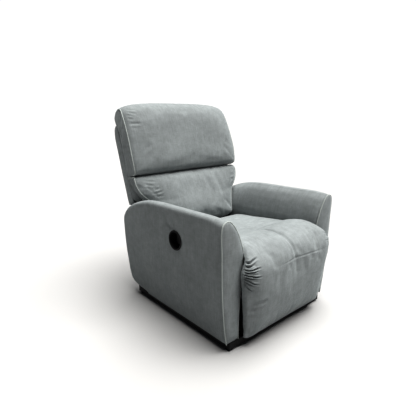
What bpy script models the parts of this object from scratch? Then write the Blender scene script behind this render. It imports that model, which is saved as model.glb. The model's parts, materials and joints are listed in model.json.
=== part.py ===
"""Recliner armchair: upholstered arms on a black plinth, a padded back that reclines, and a footrest carried
by a remote-centre linkage. Metres, +Z up, the chair faces -Y, and +X is the sitter's left."""

import math

import bmesh
import bpy
from mathutils import Matrix, Vector

# ---- driving dimensions -------------------------------------------------------------------------------
WIDTH = 0.80
FRONT, REAR = -0.495, 0.495
GAP = 0.0005  # between pieces that rest on each other

# Plinth
GLIDE_HEIGHT = 0.008
PLINTH_TOP = 0.044
PLINTH_OUTER = 0.345
PLINTH_FRONT, PLINTH_REAR = -0.410, 0.335
RAIL_WIDTH = 0.040

# Arms
ARM_BOTTOM = 0.046
ARM_TOP = 0.606
ARM_FRONT, ARM_REAR = -0.420, 0.375
PANEL_THICKNESS = 0.0155
SLOT_INNER, SLOT_OUTER, SLOT_TOP = 0.312, 0.345, 0.500
BOARD_INNER, BOARD_THICKNESS = 0.3135, 0.018

# Release handle in the sitter's right arm
CUP_Y, CUP_Z = -0.097, 0.445
CUP_FACE = -0.3990
CUP_RADIUS = 0.0430
FLANGE_RADIUS = 0.0475
LEVER_HINGE = Vector((-0.372, -0.122, CUP_Z))
LATCH_PIVOT = Vector((-0.2695, -0.020, 0.200))
CABLE_RADIUS = 0.0025

# Steel layers across the chair, from the seat frame outwards
SEAT_PLATE_X = (0.2285, 0.2325)
LINK_X = (0.2340, 0.2380)
BAR_X = (0.2395, 0.2435)
BASE_PLATE_X = (0.2620, 0.2660)
PIN_RADIUS = 0.0045
HOLE_RADIUS = 0.0052
BAR_HALF_WIDTH = 0.009

# Footrest linkage: it turns the footrest about CENTRE, a point with no hinge in it
CENTRE = Vector((0.0, -0.465, 0.445))
REAR_PIVOT = Vector((0.0, -0.200, 0.240))
LINK_SPACING = 0.100
UPPER_ARM, LOWER_ARM = 0.130, 0.220
LINK_DIRECTION = Vector((0.0, 0.607, -0.7947))
ROLL_RADIUS = 0.079

# Seat
SEAT_HALF = 0.266
SEAT_RAIL_X = (0.205, 0.228)
SEAT_RAIL_Z = (0.285, 0.335)
SEAT_FRAME_Y = (-0.360, 0.170)
GLIDE_DIRECTION = Vector((0.0, -0.985, 0.174))
GLIDE_TRAVEL = 0.0629
ROLLER_POINTS = ((-0.170, 0.275), (0.080, 0.255))
ROLLER_RADIUS = 0.006

# Back, in its own frame: origin on the pivot, +Z up along the back, -Y towards the sitter
BACK_PIVOT = Vector((0.0, 0.225, 0.360))
BACK_LEAN = math.radians(18)
BACK_HALF = 0.360
POST_X = (0.214, 0.2388)
POST_Y = (0.0455, 0.0695)
DRAG_EAR_DROP = 0.100
DRAG_PIN = Vector((0.0, 0.120, 0.250))

# ---- materials ----------------------------------------------------------------------------------------
FINISHES = {
    "fabric": ((0.26, 0.29, 0.29), 0.9, 0.0),
    "black_wood": ((0.02, 0.02, 0.02), 0.5, 0.0),
    "plywood": ((0.62, 0.47, 0.30), 0.7, 0.0),
    "black_plastic": ((0.015, 0.015, 0.017), 0.35, 0.0),
    "black_steel": ((0.05, 0.05, 0.055), 0.4, 1.0),
    "spring_steel": ((0.45, 0.45, 0.47), 0.35, 1.0),
}


def clear_scene():
    for obj in list(bpy.data.objects):
        bpy.data.objects.remove(obj)


def make_finishes():
    for name, (colour, roughness, metallic) in FINISHES.items():
        material = bpy.data.materials.new(name)
        material.use_nodes = True
        shader = material.node_tree.nodes["Principled BSDF"]
        shader.inputs["Base Color"].default_value = (*colour, 1.0)
        shader.inputs["Roughness"].default_value = roughness
        shader.inputs["Metallic"].default_value = metallic


def make_collection():
    collection = bpy.data.collections.new("recliner_armchair")
    bpy.context.scene.collection.children.link(collection)
    return collection


clear_scene()
make_finishes()
CHAIR = make_collection()

# ---- shape helpers ------------------------------------------------------------------------------------
# Which way a flat outline's own x, y and normal point for a thickness along X, Y or Z.
TURNED = {
    "X": Matrix(((0, 0, 1, 0), (1, 0, 0, 0), (0, 1, 0, 0), (0, 0, 0, 1))),
    "Y": Matrix(((1, 0, 0, 0), (0, 0, -1, 0), (0, 1, 0, 0), (0, 0, 0, 1))),
    "Z": Matrix.Identity(4),
}
UNIT = {"X": Vector((1, 0, 0)), "Y": Vector((0, 1, 0)), "Z": Vector((0, 0, 1))}


def baked(obj):
    """The object as one welded mesh with its modifiers and its place in the vertices."""
    bpy.context.view_layer.update()
    graph = bpy.context.evaluated_depsgraph_get()
    mesh = bpy.data.meshes.new_from_object(obj.evaluated_get(graph))
    mesh.transform(obj.matrix_world)
    shape = bmesh.new()
    shape.from_mesh(mesh)
    bmesh.ops.remove_doubles(shape, verts=shape.verts, dist=1e-6)
    bmesh.ops.recalc_face_normals(shape, faces=shape.faces)
    shape.to_mesh(mesh)
    shape.free()
    name = obj.name
    bpy.data.objects.remove(obj)
    made = bpy.data.objects.new(name, mesh)
    CHAIR.objects.link(made)
    return made


def prism(name, outline, span, axis, holes=()):
    """A flat outline, with its holes, as thick as span along axis."""
    curve = bpy.data.curves.new(name, "CURVE")
    curve.dimensions = "2D"
    curve.fill_mode = "BOTH"
    low, high = sorted(span)
    curve.extrude = (high - low) / 2
    for loop in (outline, *holes):
        spline = curve.splines.new("POLY")
        spline.points.add(len(loop) - 1)
        spline.use_cyclic_u = True
        for point, (a, b) in zip(spline.points, loop):
            point.co = (a, b, 0, 1)
    obj = bpy.data.objects.new(name, curve)
    CHAIR.objects.link(obj)
    obj.matrix_world = Matrix.Translation(UNIT[axis] * (low + high) / 2) @ TURNED[axis]
    return baked(obj)


def box(name, x, y, z, bevel=0.0):
    """A box between the given limits, with its edges rounded by bevel."""
    mesh = bpy.data.meshes.new(name)
    shape = bmesh.new()
    bmesh.ops.create_cube(shape, size=1.0)
    size = Matrix.Diagonal((abs(x[1] - x[0]), abs(y[1] - y[0]), abs(z[1] - z[0]), 1))
    middle = Vector((sum(x), sum(y), sum(z))) / 2
    bmesh.ops.transform(shape, matrix=Matrix.Translation(middle) @ size, verts=shape.verts)
    shape.to_mesh(mesh)
    shape.free()
    obj = bpy.data.objects.new(name, mesh)
    CHAIR.objects.link(obj)
    return rounded(obj, bevel) if bevel else obj


def rounded(obj, width, segments=2, angle=35):
    bevel = obj.modifiers.new("edges", "BEVEL")
    bevel.width = width
    bevel.segments = segments
    bevel.limit_method = "ANGLE"
    bevel.angle_limit = math.radians(angle)
    return baked(obj)


def cylinder(name, centre, radius, span, axis, sides=20):
    ring = circle((0, 0), radius, sides)
    obj = prism(name, ring, span, axis)
    flat = Vector(centre)
    flat -= UNIT[axis] * flat.dot(UNIT[axis])
    obj.data.transform(Matrix.Translation(flat))
    return obj


def tube(name, points, radius, resolution):
    """A round wire or rod along the points, with filled ends."""
    curve = bpy.data.curves.new(name, "CURVE")
    curve.dimensions = "3D"
    curve.bevel_depth = radius
    curve.bevel_resolution = resolution
    curve.use_fill_caps = True
    spline = curve.splines.new("POLY")
    spline.points.add(len(points) - 1)
    for point, place in zip(spline.points, points):
        point.co = (*place, 1)
    obj = bpy.data.objects.new(name, curve)
    CHAIR.objects.link(obj)
    return baked(obj)


def turned(name, profile, steps=32):
    """A profile of (radius, height) pairs turned about Z."""
    mesh = bpy.data.meshes.new(name)
    shape = bmesh.new()
    corners = [shape.verts.new((radius, 0, height)) for radius, height in profile]
    for first, second in zip(corners, corners[1:]):
        shape.edges.new((first, second))
    shape.to_mesh(mesh)
    shape.free()
    obj = bpy.data.objects.new(name, mesh)
    CHAIR.objects.link(obj)
    screw = obj.modifiers.new("turn", "SCREW")
    screw.steps = screw.render_steps = steps
    screw.use_merge_vertices = True
    screw.merge_threshold = 0.00001
    return baked(obj)


def combined(obj, tool, operation):
    """Cuts, joins or intersects obj with tool, which is used up."""
    boolean = obj.modifiers.new(operation.lower(), "BOOLEAN")
    boolean.operation = operation
    boolean.object = tool
    boolean.solver = "EXACT"
    obj = baked(obj)
    bpy.data.objects.remove(tool)
    return obj


def circle(centre, radius, sides=20):
    turn = 2 * math.pi / sides
    return [
        (centre[0] + radius * math.cos(i * turn), centre[1] + radius * math.sin(i * turn))
        for i in range(sides)
    ]


def arc(centre, radii, start, end, steps):
    """Points of an elliptical arc, with its angles in degrees."""
    angles = [math.radians(start + (end - start) * i / steps) for i in range(steps + 1)]
    return [(centre[0] + radii[0] * math.cos(a), centre[1] + radii[1] * math.sin(a)) for a in angles]


def strip(first, second, half_width, steps=6):
    """The outline of a flat bar with round ends on two points."""
    along = math.degrees(math.atan2(second[1] - first[1], second[0] - first[0]))
    radii = (half_width, half_width)
    end = arc(second, radii, along - 90, along + 90, steps)
    return end + arc(first, radii, along + 90, along + 270, steps)


def smooth(points, steps):
    """A Catmull-Rom curve through the points."""
    guides = [points[0], *points, points[-1]]
    curve = []
    for p0, p1, p2, p3 in zip(guides, guides[1:], guides[2:], guides[3:]):
        for i in range(steps):
            t = i / steps
            curve.append(
                tuple(
                    b
                    + 0.5 * t * (c - a)
                    + t**2 * (a - 2.5 * b + 2 * c - 0.5 * d)
                    + t**3 * (1.5 * b - 0.5 * a - 1.5 * c + 0.5 * d)
                    for a, b, c, d in zip(p0, p1, p2, p3)
                )
            )
    return curve + [points[-1]]


def mirrored(outline, side):
    """An outline in X and Z on the sitter's left (side 1) or right (side -1)."""
    return [(side * x, z) for x, z in outline]


def across(span, side):
    return tuple(sorted(side * x for x in span))


def yz(point):
    return point.y, point.z


SIDES = (("left", 1), ("right", -1))


# ---- bodies -------------------------------------------------------------------------------------------
def body(name, place, lean=0.0):
    """An empty on the body's joint axis, which its pieces are parented to."""
    empty = bpy.data.objects.new(name, None)
    CHAIR.objects.link(empty)
    empty.location = place
    empty.rotation_euler = (-lean, 0, 0)
    bpy.context.view_layer.update()
    return empty


def finish(obj, owner, material, own_frame=False):
    """Gives a piece its material, its body and an origin on that body's joint axis."""
    if not own_frame:
        obj.data.transform(owner.matrix_world.inverted())
    obj.parent = owner
    obj.data.materials.clear()
    obj.data.materials.append(bpy.data.materials[material])
    obj.data.shade_smooth()
    obj.data.set_sharp_from_angle(angle=math.radians(32))
    return obj


# ---- plinth -------------------------------------------------------------------------------------------
def build_plinth(base):
    height = (GLIDE_HEIGHT + GAP, PLINTH_TOP)
    inner = PLINTH_OUTER - RAIL_WIDTH
    for word, side in SIDES:
        rail = box(
            f"plinth_rail_{word}",
            across((inner, PLINTH_OUTER), side),
            (PLINTH_FRONT, PLINTH_REAR),
            height,
            0.002,
        )
        finish(rail, base, "black_wood")
    reach = (-inner + GAP, inner - GAP)
    for word, start in (("front", PLINTH_FRONT), ("rear", PLINTH_REAR - RAIL_WIDTH)):
        rail = box(f"plinth_rail_{word}", reach, (start, start + RAIL_WIDTH), height, 0.002)
        finish(rail, base, "black_wood")
    for word, side in SIDES:
        for end, y in (("front", PLINTH_FRONT + 0.025), ("rear", PLINTH_REAR - 0.025)):
            place = (side * (PLINTH_OUTER - RAIL_WIDTH / 2), y, 0)
            glide = cylinder(f"glide_{end}_{word}", place, 0.018, (0, GLIDE_HEIGHT), "Z", 24)
            finish(glide, base, "black_plastic")


# ---- arms ---------------------------------------------------------------------------------------------
def arm_section():
    """The arm cut across: flared outwards, with a top that falls inwards to a full inner side."""
    outer = ((0.363, ARM_BOTTOM), (0.391, 0.250), (0.398, 0.450), (0.400, 0.550))
    top = ((0.393, 0.592), (0.370, ARM_TOP), (0.338, 0.588), (0.304, 0.538))
    inner = ((0.278, 0.465), (0.275, 0.410), (0.284, 0.300), (0.299, ARM_BOTTOM))
    return smooth([*outer, *top, *inner], 3)


def arm_profile(grow=0.0):
    """The arm from the side, behind its front panel: a flat top that sweeps down to the rear."""
    sweep = arc((0.060, 0.445), (ARM_REAR - 0.060 + grow, 0.164 + grow), 0, 90, 10)
    foot = arc((ARM_REAR - 0.050, ARM_BOTTOM + 0.050), (0.050 + grow, 0.050 + grow), -90, -20, 4)
    front = ARM_FRONT + PANEL_THICKNESS
    return [(front, ARM_BOTTOM - grow), *foot, *sweep, (front, 0.609 + grow)]


def frame_board_outline():
    return [
        (-0.385, PLINTH_TOP + GAP),
        (0.185, PLINTH_TOP + GAP),
        (0.243, 0.058),
        (0.284, 0.085),
        (0.311, 0.125),
        (0.325, 0.168),
        (0.325, 0.410),
        (0.250, 0.490),
        (-0.385, 0.490),
    ]


def build_arm(word, side, base):
    panel_back = ARM_FRONT + PANEL_THICKNESS
    pad = prism(f"arm_pad_{word}", mirrored(arm_section(), side), (panel_back, ARM_REAR + 0.02), "Y")
    pad = combined(pad, prism("profile", arm_profile(), across((0.25, 0.42), side), "X"), "INTERSECT")
    slot = box("slot", across((SLOT_INNER, SLOT_OUTER), side), (-0.388, 0.330), (0.0, SLOT_TOP))
    pad = combined(pad, slot, "DIFFERENCE")
    holes = ()
    if side < 0:
        for radius, span in ((CUP_RADIUS + GAP, (-0.42, -0.340)), (FLANGE_RADIUS + GAP, (-0.42, -0.3955))):
            seat = cylinder("seat", (0, CUP_Y, CUP_Z), radius, span, "X", 32)
            pad = combined(pad, seat, "DIFFERENCE")
        passage = cylinder("passage", (0, CUP_Y, 0.270), 0.010, (-0.32, -0.25), "X")
        pad = combined(pad, passage, "DIFFERENCE")
        holes = (circle((CUP_Y, 0.276), 0.020),)
    finish(pad, base, "fabric")
    span = across((BOARD_INNER, BOARD_INNER + BOARD_THICKNESS), side)
    finish(prism(f"arm_frame_{word}", frame_board_outline(), span, "X", holes), base, "plywood")
    front = (ARM_FRONT, panel_back - GAP)
    panel = prism(f"arm_front_panel_{word}", mirrored(arm_section(), side), front, "Y")
    finish(panel, base, "fabric")


def build_rear_apron(base):
    right = [(0.2965, PLINTH_TOP + GAP), (0.2825, 0.290), (0.2790, 0.306)]
    outline = right + [(-x, z) for x, z in reversed(right)]
    finish(rounded(prism("rear_apron", outline, (0.322, 0.344), "Y"), 0.003), base, "fabric")


# ---- release handle -----------------------------------------------------------------------------------
def build_handle(base, lever, latch):
    wall, depth, lip = 0.0025, 0.0500, 0.0030
    profile = (
        (0.0, 0.0),
        (CUP_RADIUS, 0.0),
        (CUP_RADIUS, depth - lip),
        (FLANGE_RADIUS, depth - lip),
        (FLANGE_RADIUS, depth - 0.001),
        (FLANGE_RADIUS - 0.001, depth),
        (CUP_RADIUS - wall, depth),
        (CUP_RADIUS - wall, wall + 0.006),
        (CUP_RADIUS - wall - 0.006, wall),
        (0.0, wall),
    )
    cup = turned("handle_cup", profile)
    turn = Matrix.Rotation(-math.pi / 2, 4, "Y")
    cup.matrix_world = Matrix.Translation((CUP_FACE + depth, CUP_Y, CUP_Z)) @ turn
    finish(baked(cup), base, "black_plastic")

    pin_half = 0.0295
    pin = cylinder("lever_pin", LEVER_HINGE, 0.0020, (CUP_Z - pin_half, CUP_Z + pin_half), "Z", 12)
    finish(pin, base, "spring_steel")

    paddle_half, knuckle = 0.0255, 0.0045
    tip = arc((0.018, 0), (0.026, paddle_half), -70, 70, 10)
    outline = [(-0.0005, -paddle_half), *tip, (-0.0005, paddle_half)]
    outline = [(LEVER_HINGE.y + y, CUP_Z + z) for y, z in outline]
    paddle = prism("release_lever", outline, (LEVER_HINGE.x - 0.0018, LEVER_HINGE.x + 0.0018), "X")
    span = (CUP_Z - paddle_half, CUP_Z + paddle_half)
    paddle = combined(paddle, cylinder("knuckle", LEVER_HINGE, knuckle, span, "Z", 16), "UNION")
    bore = cylinder("bore", LEVER_HINGE, 0.0026, (CUP_Z - 0.04, CUP_Z + 0.04), "Z", 16)
    finish(combined(paddle, bore, "DIFFERENCE"), lever, "black_plastic")

    pivot = yz(LATCH_PIVOT)
    tip = (pivot[0] - 0.070, pivot[1] + 0.050)
    hole = circle(pivot, 0.0045, 16)
    pawl = prism("latch_pawl", strip(pivot, tip, 0.009), (-0.2715, -0.2675), "X", (hole,))
    finish(pawl, latch, "black_steel")

    route = (
        (-0.3460, CUP_Y, 0.4300),
        (-0.3425, CUP_Y, 0.4270),
        (-0.3390, CUP_Y, 0.4150),
        (-0.3385, CUP_Y, 0.3500),
        (-0.3385, CUP_Y, 0.2950),
        (-0.3350, CUP_Y, 0.2780),
        (-0.3220, CUP_Y, 0.2700),
        (-0.3000, CUP_Y, 0.2695),
        (-0.2790, CUP_Y, 0.2690),
        (-0.2735, CUP_Y, 0.2650),
    )
    finish(tube("release_cable", smooth(route, 5), CABLE_RADIUS, 2), base, "black_plastic")


# ---- steel base plates --------------------------------------------------------------------------------
def slot_outline(start, direction, length, half_width):
    end = (start[0] + direction.y * length, start[1] + direction.z * length)
    return strip(start, end, half_width)


def build_base_plates(base):
    outline = [
        (-0.370, PLINTH_TOP + GAP),
        (0.300, PLINTH_TOP + GAP),
        (0.300, 0.090),
        *arc(yz(BACK_PIVOT), (0.026, 0.026), -20, 160, 10),
        (0.150, 0.315),
        (-0.245, 0.315),
        (-0.270, 0.290),
        (-0.370, 0.090),
    ]
    reach, half = GLIDE_TRAVEL + 0.003, ROLLER_RADIUS + 0.0008
    slots = [slot_outline(point, GLIDE_DIRECTION, reach, half) for point in ROLLER_POINTS]
    for word, side in SIDES:
        plate = prism(f"base_plate_{word}", outline, across(BASE_PLATE_X, side), "X", slots)
        pin_span = across((BAR_X[0], BASE_PLATE_X[0] + 0.001), side)
        plate = combined(plate, cylinder("pin", BACK_PIVOT, 0.007, pin_span, "X", 20), "UNION")
        if side < 0:
            stub = cylinder("stub", LATCH_PIVOT, 0.0040, (-0.2720, -0.2655), "X", 16)
            plate = combined(plate, stub, "UNION")
        finish(plate, base, "black_steel")


# ---- seat ---------------------------------------------------------------------------------------------
def build_seat_frame(seat):
    for word, side in SIDES:
        rail = box(f"seat_rail_{word}", across(SEAT_RAIL_X, side), SEAT_FRAME_Y, SEAT_RAIL_Z, 0.002)
        finish(rail, seat, "plywood")
    reach = (-SEAT_RAIL_X[0] + GAP, SEAT_RAIL_X[0] - GAP)
    thickness = 0.022
    for word, start in (("front", SEAT_FRAME_Y[0]), ("rear", SEAT_FRAME_Y[1] - thickness)):
        rail = box(f"seat_rail_{word}", reach, (start, start + thickness), SEAT_RAIL_Z, 0.002)
        finish(rail, seat, "plywood")
    for number, x in enumerate((-0.156, -0.052, 0.052, 0.156), 1):
        finish(seat_spring(f"seat_spring_{number}", x), seat, "spring_steel")


def seat_spring(name, x):
    """A sinuous wire spring from the front rail to the rear rail."""
    start, end = SEAT_FRAME_Y[0] + 0.0245, SEAT_FRAME_Y[1] - 0.0245
    waves, amplitude, points_per_wave = 7, 0.024, 6
    total = waves * points_per_wave
    points = []
    for i in range(total + 1):
        swing = amplitude * math.sin(2 * math.pi * i / points_per_wave)
        points.append((x + swing, start + (end - start) * i / total, 0.3300))
    return tube(name, points, 0.0018, 0)


def build_seat_pads(seat):
    cushion = [
        (-0.2895, 0.3370),
        (0.155, 0.3370),
        (0.162, 0.350),
        (0.160, 0.386),
        (0.135, 0.396),
        (-0.180, 0.430),
        (-0.2895, 0.450),
    ]
    pad = prism("seat_cushion", cushion, (-SEAT_HALF, SEAT_HALF), "X")
    finish(rounded(pad, 0.008), seat, "fabric")
    crest = ((-0.290, 0.4505), (-0.330, 0.4760), (-0.400, 0.4740), (-0.458, 0.4500), (-0.487, 0.4150))
    crown = smooth(crest, 4)
    nose = arc((CENTRE.y, CENTRE.z), (ROLL_RADIUS, ROLL_RADIUS), 248.4, 308, 8)
    outline = [*crown, *nose, (-0.358, 0.3370), (-0.290, 0.3370)]
    roll = prism("seat_front_roll", outline, (-SEAT_HALF, SEAT_HALF), "X")
    finish(roll, seat, "fabric")


def build_seat_plates(seat):
    """Steel plates on the seat rails: they hold the links and run on rollers in the base plates' slots."""
    front_pivot = front_link_pivot()
    outline = [
        (-0.300, 0.334),
        (-0.318, 0.310),
        *arc(yz(front_pivot), (0.018, 0.018), 160, 240, 4),
        *arc(yz(REAR_PIVOT), (0.024, 0.024), 190, 290, 6),
        *arc(yz(DRAG_PIN), (0.014, 0.014), 270, 380, 6),
        (0.134, 0.334),
    ][::-1]
    tube_hole = circle(yz(REAR_PIVOT), 0.0142)
    for word, side in SIDES:
        plate = prism(f"seat_plate_{word}", outline, across(SEAT_PLATE_X, side), "X", (tube_hole,))
        pins = [(front_pivot, PIN_RADIUS, LINK_X[1] + 0.0005), (DRAG_PIN, PIN_RADIUS, LINK_X[1] + 0.0005)]
        pins += [(Vector((0, *point)), ROLLER_RADIUS, BASE_PLATE_X[1] + 0.001) for point in ROLLER_POINTS]
        for place, radius, end in pins:
            pin = cylinder("pin", place, radius, across((SEAT_PLATE_X[1] - 0.001, end), side), "X", 16)
            plate = combined(plate, pin, "UNION")
        finish(plate, seat, "black_steel")


def build_drive_spring(seat):
    """A torsion spring coiled round the torque tube, which throws the footrest open."""
    turns, points_per_turn, radius, pitch, start = 6, 12, 0.0185, 0.0052, 0.090
    points = []
    for i in range(turns * points_per_turn + 1):
        turn = 2 * math.pi * i / points_per_turn
        points.append(
            (
                start + pitch * i / points_per_turn,
                REAR_PIVOT.y + radius * math.cos(turn),
                REAR_PIVOT.z + radius * math.sin(turn),
            )
        )
    points.append((points[-1][0], REAR_PIVOT.y + radius, REAR_PIVOT.z + 0.035))
    finish(tube("drive_spring", points, 0.0019, 0), seat, "spring_steel")


# ---- footrest linkage ---------------------------------------------------------------------------------
def bar_direction():
    return (CENTRE - REAR_PIVOT).normalized()


def front_link_pivot():
    return REAR_PIVOT + bar_direction() * LINK_SPACING


def link(name, pivot, side, pivot_hole):
    """A swinging link: it turns on the seat plate and carries both bars on its pins."""
    end = pivot + LINK_DIRECTION * LOWER_ARM
    holes = (circle(yz(pivot), HOLE_RADIUS, 16),) if pivot_hole else ()
    obj = prism(name, strip(yz(pivot), yz(end), BAR_HALF_WIDTH), across(LINK_X, side), "X", holes)
    return with_bar_pins(obj, pivot, side)


def with_bar_pins(obj, pivot, side):
    for arm in (UPPER_ARM, LOWER_ARM):
        span = across((LINK_X[1] - 0.001, BAR_X[1] + 0.0010), side)
        pin = cylinder("pin", pivot + LINK_DIRECTION * arm, PIN_RADIUS, span, "X", 16)
        obj = combined(obj, pin, "UNION")
    return obj


def build_links(rear_links, front_links):
    for word, side in SIDES:
        finish(link(f"rear_link_{word}", REAR_PIVOT, side, False), rear_links, "black_steel")
        finish(link(f"front_link_{word}", front_link_pivot(), side, True), front_links, "black_steel")
    half, reach = 0.009, LINK_X[0] - 0.0003
    around = [(REAR_PIVOT.y - half, REAR_PIVOT.y + half), (REAR_PIVOT.z - half, REAR_PIVOT.z + half)]
    torque_tube = box("torque_tube", (-reach, reach), *around, 0.002)
    finish(torque_tube, rear_links, "black_steel")


def build_bars(upper_bars, lower_bars):
    """The parallel bars that reach from the links to the footrest and never turn."""
    length = (CENTRE - REAR_PIVOT).length
    for kind, arm, owner in (("upper", UPPER_ARM, upper_bars), ("lower", LOWER_ARM, lower_bars)):
        start = REAR_PIVOT + LINK_DIRECTION * arm
        pins = [start + bar_direction() * along for along in (0, LINK_SPACING, length)]
        holes = [circle(yz(place), HOLE_RADIUS, 16) for place in pins]
        for word, side in SIDES:
            bar = prism(
                f"{kind}_bar_{word}",
                strip(yz(pins[0]), yz(pins[-1]), BAR_HALF_WIDTH),
                across(BAR_X, side),
                "X",
                holes,
            )
            finish(bar, owner, "black_steel")


# ---- footrest -----------------------------------------------------------------------------------------
BOARD_BACK = -0.3973
PAD_BACK = ARM_FRONT - 0.0013


def build_footrest(footrest):
    board = box("footrest_board", (-0.270, 0.270), (PAD_BACK + GAP, BOARD_BACK), (0.060, 0.355), 0.002)
    finish(board, footrest, "black_wood")
    top = CENTRE.z - ROLL_RADIUS - 0.003
    front = smooth(((FRONT + 0.006, top), (FRONT + 0.004, 0.300), (-0.472, 0.150), (-0.450, 0.060)), 4)
    outline = [(PAD_BACK, top), *front, (-0.440, 0.0500), (PAD_BACK, 0.0500)]
    pad = prism("footrest_pad", outline, (-0.285, 0.285), "X")
    finish(rounded(pad, 0.004), footrest, "fabric")
    upper, lower = (CENTRE + LINK_DIRECTION * arm for arm in (UPPER_ARM, LOWER_ARM))
    face = BOARD_BACK + 0.0003
    outline = [
        (face, 0.205),
        (face + 0.014, 0.205),
        *arc(yz(lower), (0.011, 0.011), -60, 60, 5),
        *arc(yz(upper), (0.011, 0.011), 20, 100, 4),
        (face, 0.350),
    ]
    for word, side in SIDES:
        bracket = prism(f"footrest_bracket_{word}", outline, across(LINK_X, side), "X")
        depth = (face + 0.0002, face + 0.003)
        flange = box("flange", across((0.200, LINK_X[0] + 0.002), side), depth, (0.207, 0.346))
        bracket = combined(bracket, flange, "UNION")
        bracket = with_bar_pins(bracket, CENTRE, side)
        finish(bracket, footrest, "black_steel")


# ---- back ---------------------------------------------------------------------------------------------
def build_back_frame(back):
    frame_top, rail_height = 0.6340, 0.040
    post_top = frame_top - rail_height - GAP
    for word, side in SIDES:
        post = box(f"back_post_{word}", across(POST_X, side), POST_Y, (0.000, post_top), 0.002)
        finish(post, back, "plywood", own_frame=True)
    top = box("back_top_rail", (-0.320, 0.320), POST_Y, (frame_top - rail_height, frame_top), 0.002)
    finish(top, back, "plywood", own_frame=True)
    reach = (-POST_X[0] + GAP, POST_X[0] - GAP)
    bottom = box("back_bottom_rail", reach, POST_Y, (0.005, 0.045), 0.002)
    finish(bottom, back, "plywood", own_frame=True)


def wing_outline(low, top, inset=0.0):
    """The back from behind: narrow between the arms and wider above them, with round upper corners."""
    widest, corner = 0.355 - inset, 0.020
    right = [(0.2605 - inset, low), (0.2605 - inset, 0.188 + inset), (widest - 0.035, 0.206 + inset)]
    right += [(widest, 0.236 + inset)]
    right += arc((widest - corner, top - corner), (corner, corner), 0, 90, 5)
    return right + [(-x, z) for x, z in reversed(right)]


def lumbar_outline():
    right = [(0.254, 0.030), (0.261, 0.100), (0.266, 0.160), (0.271, 0.184), (0.287, 0.205)]
    right += [(0.316, 0.228), (0.342, 0.252), (0.352, 0.280), (0.353, 0.302), (0.347, 0.325)]
    return right + [(-x, z) for x, z in reversed(right)]


def headrest_outline():
    corner, top = 0.070, 0.725
    right = [(0.345, 0.335), (BACK_HALF, 0.355)]
    right += arc((BACK_HALF - corner, top - corner), (corner, corner), 0, 90, 6)
    return right + [(-x, z) for x, z in reversed(right)]


def build_back_pads(back):
    lumbar_side = [
        (0.0440, 0.030),
        (0.0440, 0.325),
        (-0.030, 0.325),
        (-0.070, 0.290),
        (-0.085, 0.200),
        (-0.082, 0.060),
        (-0.065, 0.030),
    ]
    lumbar = prism("lumbar_pad", lumbar_outline(), (-0.12, 0.12), "Y")
    lumbar = combined(lumbar, prism("side", lumbar_side[::-1], (-0.4, 0.4), "X"), "INTERSECT")
    finish(rounded(lumbar, 0.006), back, "fabric", own_frame=True)
    head_side = [
        (0.0440, 0.335),
        (-0.050, 0.335),
        (-0.085, 0.360),
        (-0.092, 0.480),
        (-0.084, 0.630),
        (-0.055, 0.705),
        (0.0, 0.7250),
        (0.042, 0.718),
        (0.0590, 0.690),
        (0.0660, 0.6405),
        (0.0440, 0.6405),
    ]
    head = prism("headrest_pad", headrest_outline(), (-0.12, 0.12), "Y")
    head = combined(head, prism("side", head_side, (-0.4, 0.4), "X"), "INTERSECT")
    finish(rounded(head, 0.006), back, "fabric", own_frame=True)
    panel = prism("back_panel", wing_outline(-0.010, 0.6385), (0.0450, 0.12), "Y")
    panel_side = [
        (0.0300, -0.020),
        (0.0995, -0.020),
        (0.0995, 0.5700),
        (0.0768, 0.6385),
        (0.0768, 0.7000),
        (0.0300, 0.7000),
    ]
    panel = combined(panel, prism("side", panel_side, (-0.4, 0.4), "X"), "INTERSECT")
    panel = rounded(panel, 0.004)
    hollow = prism("hollow", wing_outline(-0.050, 0.7000, 0.0135), (0.0300, 0.0700), "Y")
    finish(combined(panel, hollow, "DIFFERENCE"), back, "fabric", own_frame=True)


def build_back_brackets(back):
    """Steel brackets from the pivot pins up the posts, with an ear below that drives the seat."""
    ear = Vector((0, 0, -DRAG_EAR_DROP))
    ear.rotate(Matrix.Rotation(BACK_LEAN, 3, "X"))
    outline = [
        (POST_Y[1], 0.300),
        (POST_Y[0], 0.300),
        (POST_Y[0], 0.026),
        (0.020, 0.0185),
        *arc((0, 0), (0.018, 0.018), 90, 180, 5),
        *arc(yz(ear), (0.012, 0.012), 200, 340, 6),
        (0.030, -0.020),
        (POST_Y[1], 0.000),
    ]
    hole = circle((0, 0), 0.0078)
    for word, side in SIDES:
        bracket = prism(f"back_bracket_{word}", outline, across(BAR_X, side), "X", (hole,))
        pin = cylinder("pin", ear, PIN_RADIUS, across((LINK_X[0] - 0.0005, BAR_X[0] + 0.001), side), "X", 16)
        finish(combined(bracket, pin, "UNION"), back, "black_steel", own_frame=True)


def build_drag_links(drag_links):
    """Links that push the seat plates forward. The back's pin runs in an upright slot at their rear end."""
    ear = BACK_PIVOT - Vector((0, 0, DRAG_EAR_DROP))
    reach = Vector((0, 0, 0.0032))
    slot = strip(yz(ear - reach), yz(ear + reach), 0.0063)
    holes = (circle(yz(DRAG_PIN), HOLE_RADIUS, 16), slot)
    for word, side in SIDES:
        bar = strip(yz(DRAG_PIN), yz(ear), 0.0135)
        obj = prism(f"drag_link_{word}", bar, across(LINK_X, side), "X", holes)
        finish(obj, drag_links, "black_steel")


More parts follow.
